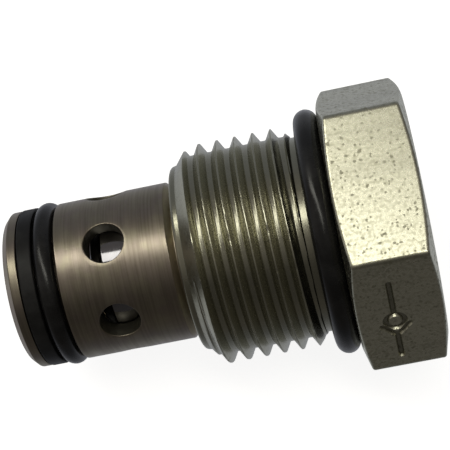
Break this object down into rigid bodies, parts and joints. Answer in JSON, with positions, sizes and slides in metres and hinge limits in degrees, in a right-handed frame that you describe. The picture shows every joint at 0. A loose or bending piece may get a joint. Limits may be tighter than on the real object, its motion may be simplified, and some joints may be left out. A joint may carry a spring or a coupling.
{
  "type": "cartridge valve",
  "caption": "Screw-in check-valve cartridge: hex plug with a threaded body, drilled nose cage, spring-loaded poppet and face, bore and backup seals.",
  "frame": {"origin": "on the valve's axis, at the face under the hex head that seats on the manifold", "axes": "+X along the valve's axis from the nose to the hex head; +Z square to one flat of the head, so the valve lies on its -Z flat"},
  "size_m": [0.0409, 0.0292, 0.0254],
  "materials": {
    "zinc_plated_steel": "zinc plated, satin, slightly yellow, with fine pits",
    "hardened_steel": "turned and hardened, bronze-brown oxide",
    "polished_steel": "ground and polished steel",
    "spring_steel": "drawn spring wire",
    "black_nitrile": "satin black",
    "black_backup_plastic": "satin black"
  },
  "bodies": {
    "valve": {"plug_body": "zinc_plated_steel", "cage": "hardened_steel", "poppet_spring": "spring_steel", "body_o_ring": "black_nitrile", "nose_o_ring": "black_nitrile", "nose_backup_ring": "black_backup_plastic"},
    "poppet": {"poppet": "polished_steel"}
  },
  "joints": [
    {"name": "poppet_lift", "type": "slide", "parent": "valve", "child": "poppet", "axis": [1, 0, 0], "range_m": [0, 0.0025], "stiffness_N_per_m": 1700, "springref_m": -0.003, "deforming": ["poppet_spring"]}
  ]
}
